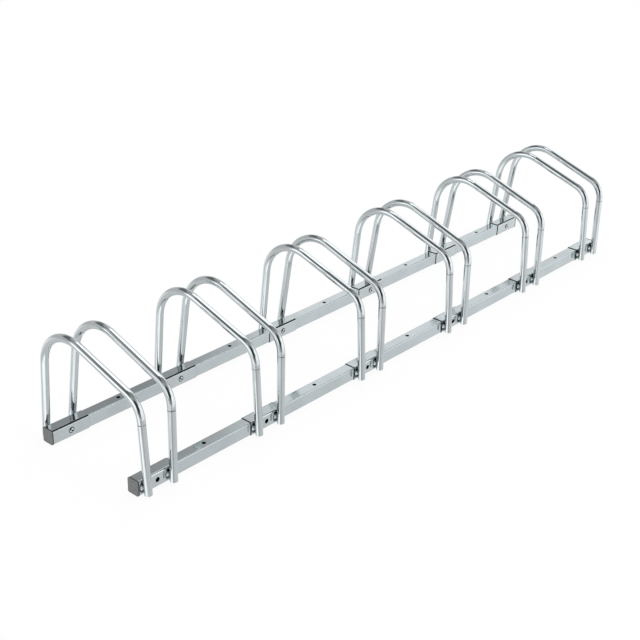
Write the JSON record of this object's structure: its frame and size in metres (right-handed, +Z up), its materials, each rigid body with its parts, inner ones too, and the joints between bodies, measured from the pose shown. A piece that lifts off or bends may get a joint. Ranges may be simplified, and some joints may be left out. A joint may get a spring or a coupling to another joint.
{
  "type": "floor bike rack",
  "caption": "Free-standing floor rack of bright zinc-plated steel: two rectangular tube rails carry pairs of bent round-tube hoops, each pair holding a bicycle's front wheel.",
  "frame": {"origin": "on the floor, halfway along the rack and midway between the two rails", "axes": "+X along the rails to the right, +Y from the low front of the hoops to their high back, +Z up"},
  "size_m": [1.602, 0.3126, 0.2549],
  "materials": {
    "hoop_zinc": "bright zinc plate, glossy, with faint draw lines along the tube",
    "rail_zinc": "bright zinc plate, glossy, slightly wavy",
    "sleeve_zinc": "bright zinc plate, glossy sheet",
    "screw_zinc": "bright zinc plate, glossy, machined",
    "weld_zinc": "bright zinc plate over a rippled weld bead",
    "plug_plastic": "matt moulded plastic, mid grey"
  },
  "bodies": {
    "root": {"hoop_1_left": "hoop_zinc", "hoop_1_right": "hoop_zinc", "hoop_2_left": "hoop_zinc", "hoop_2_right": "hoop_zinc", "hoop_3_left": "hoop_zinc", "hoop_3_right": "hoop_zinc", "hoop_4_left": "hoop_zinc", "hoop_4_right": "hoop_zinc", "hoop_5_left": "hoop_zinc", "hoop_5_right": "hoop_zinc", "hoop_6_left": "hoop_zinc", "hoop_6_right": "hoop_zinc", "rail_tube_front_1": "rail_zinc", "rail_tube_front_2": "rail_zinc", "rail_tube_front_3": "rail_zinc", "rail_tube_front_4": "rail_zinc", "rail_tube_front_5": "rail_zinc", "rail_tube_back_1": "rail_zinc", "rail_tube_back_2": "rail_zinc", "rail_tube_back_3": "rail_zinc", "rail_tube_back_4": "rail_zinc", "rail_tube_back_5": "rail_zinc", "rail_sleeve_front_1": "sleeve_zinc", "rail_sleeve_front_2": "sleeve_zinc", "rail_sleeve_front_3": "sleeve_zinc", "rail_sleeve_front_4": "sleeve_zinc", "rail_sleeve_front_5": "sleeve_zinc", "rail_sleeve_front_6": "sleeve_zinc", "rail_sleeve_back_1": "sleeve_zinc", "rail_sleeve_back_2": "sleeve_zinc", "rail_sleeve_back_3": "sleeve_zinc", "rail_sleeve_back_4": "sleeve_zinc", "rail_sleeve_back_5": "sleeve_zinc", "rail_sleeve_back_6": "sleeve_zinc", "end_plug_front_left": "plug_plastic", "end_plug_front_right": "plug_plastic", "end_plug_back_left": "plug_plastic", "end_plug_back_right": "plug_plastic", "sleeve_screws_front": "screw_zinc", "sleeve_screws_back": "screw_zinc", "weld_beads_front": "weld_zinc", "weld_beads_back": "weld_zinc"}
  },
  "joints": []
}
